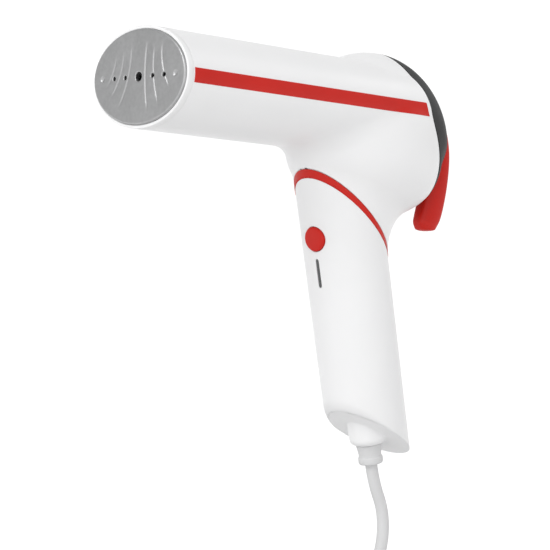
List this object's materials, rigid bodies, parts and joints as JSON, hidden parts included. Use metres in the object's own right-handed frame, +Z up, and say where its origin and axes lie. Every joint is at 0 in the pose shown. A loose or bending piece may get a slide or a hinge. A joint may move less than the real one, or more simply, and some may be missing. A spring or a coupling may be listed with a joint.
{
  "type": "handheld garment steamer",
  "caption": "Foldable handheld garment steamer: oval steam plate on a barrel, removable tank, slanted swivel grip and mains cord.",
  "frame": {"origin": "middle of the grip, on the grip's own axis, where the hand holds it", "axes": "-Y is the way the steam leaves and the barrel's axis, +Z is up, +X is across the steamer"},
  "size_m": [0.077, 0.2434, 0.452],
  "materials": {
    "shell_white": "satin white ABS",
    "trim_red": "satin red ABS",
    "cap_grey": "dark grey moulded plastic",
    "tank_clear": "smoke-tinted clear plastic",
    "plate_metal": "matt bead-blasted aluminium",
    "cast_alloy": "die-cast",
    "heater_steel": "bright",
    "insulation": "mica board",
    "inner_plastic": "moulded nylon",
    "pump_winding": "enamelled copper winding, taped",
    "seal_rubber": "silicone",
    "hose": "silicone hose",
    "tank_fitting": "moulded nylon",
    "board": "fibreglass board",
    "light": "smoked lens",
    "wires": "sleeved loom",
    "cord_jacket": "matt light grey jacket",
    "cord_tie": "hook-and-loop strap",
    "plug_plastic": "light grey moulding",
    "pin_metal": "nickel plated"
  },
  "bodies": {
    "handle": {"handle_sleeve": "shell_white", "handle_chassis": "inner_plastic", "handle_end_cap": "shell_white", "swivel_ring": "trim_red", "detent_leaf": "heater_steel", "circuit_board": "board", "micro_switch": "inner_plastic", "switch_carrier": "inner_plastic", "button_spring": "heater_steel", "indicator_lens": "light", "indicator_led": "light", "terminal_block": "inner_plastic", "cord_clamp": "inner_plastic", "clamp_screws": "heater_steel", "supply_wires": "wires", "strain_relief": "cord_jacket", "cord_lead": "cord_jacket", "cord_coil": "cord_jacket", "cord_tail": "cord_jacket", "cord_tie": "cord_tie", "plug_relief": "cord_jacket", "plug_body": "plug_plastic", "plug_pins": "pin_metal"},
    "head": {"head_shell_left": "shell_white", "head_shell_right": "shell_white", "shell_screws": "heater_steel", "front_bezel": "shell_white", "soleplate": "plate_metal", "plate_gasket": "seal_rubber", "heater_block": "cast_alloy", "heating_element": "heater_steel", "boiler_cover": "cast_alloy", "insulation_sleeve": "insulation", "thermostat": "heater_steel", "thermal_fuse": "heater_steel", "boiler_bracket": "insulation", "pump_body": "inner_plastic", "pump_coil": "pump_winding", "outlet_hose": "hose", "inlet_hose": "hose", "tank_socket": "inner_plastic", "socket_seal": "seal_rubber", "stripe_left": "trim_red", "stripe_right": "trim_red", "pivot_hub": "inner_plastic", "pivot_retainer": "heater_steel", "pivot_screws": "heater_steel", "head_wires": "wires"},
    "tank": {"rear_cap": "cap_grey", "tank_front": "tank_clear", "tank_rear_upper": "tank_clear", "tank_rear_lower": "tank_clear", "tank_rear_left": "tank_clear", "tank_rear_right": "tank_clear", "tank_nipple": "tank_fitting", "flap_pin": "heater_steel"},
    "flap": {"filler_flap": "trim_red", "filler_seal": "seal_rubber"},
    "button": {"trigger_button": "trim_red"},
    "plunger": {"switch_plunger": "inner_plastic"}
  },
  "joints": [
    {"name": "fold_hinge", "type": "hinge", "parent": "handle", "child": "head", "pos_m": [0, -0.01307, 0.05707], "axis": [0, 0.6232, 0.7821], "range_deg": [0, 180]},
    {"name": "tank_slide", "type": "slide", "parent": "head", "child": "tank", "axis": [0, 1, 0], "range_m": [0, 0.07]},
    {"name": "flap_hinge", "type": "hinge", "parent": "tank", "child": "flap", "pos_m": [0, 0.0626, 0.1125], "axis": [1, 0, 0], "range_deg": [0, 75]},
    {"name": "button_press", "type": "slide", "parent": "handle", "child": "button", "axis": [0, 0.9748, 0.2233], "range_m": [0, 0.0015], "stiffness_N_per_m": 900, "springref_m": -0.0015, "deforming": ["button_spring"]},
    {"name": "plunger_slide", "type": "slide", "parent": "handle", "child": "plunger", "axis": [0, 0.9748, 0.2233], "range_m": [0, 0.0015]}
  ],
  "couplings": [
    {"joint": "plunger_slide", "follows": "button_press", "ratio": 1}
  ]
}
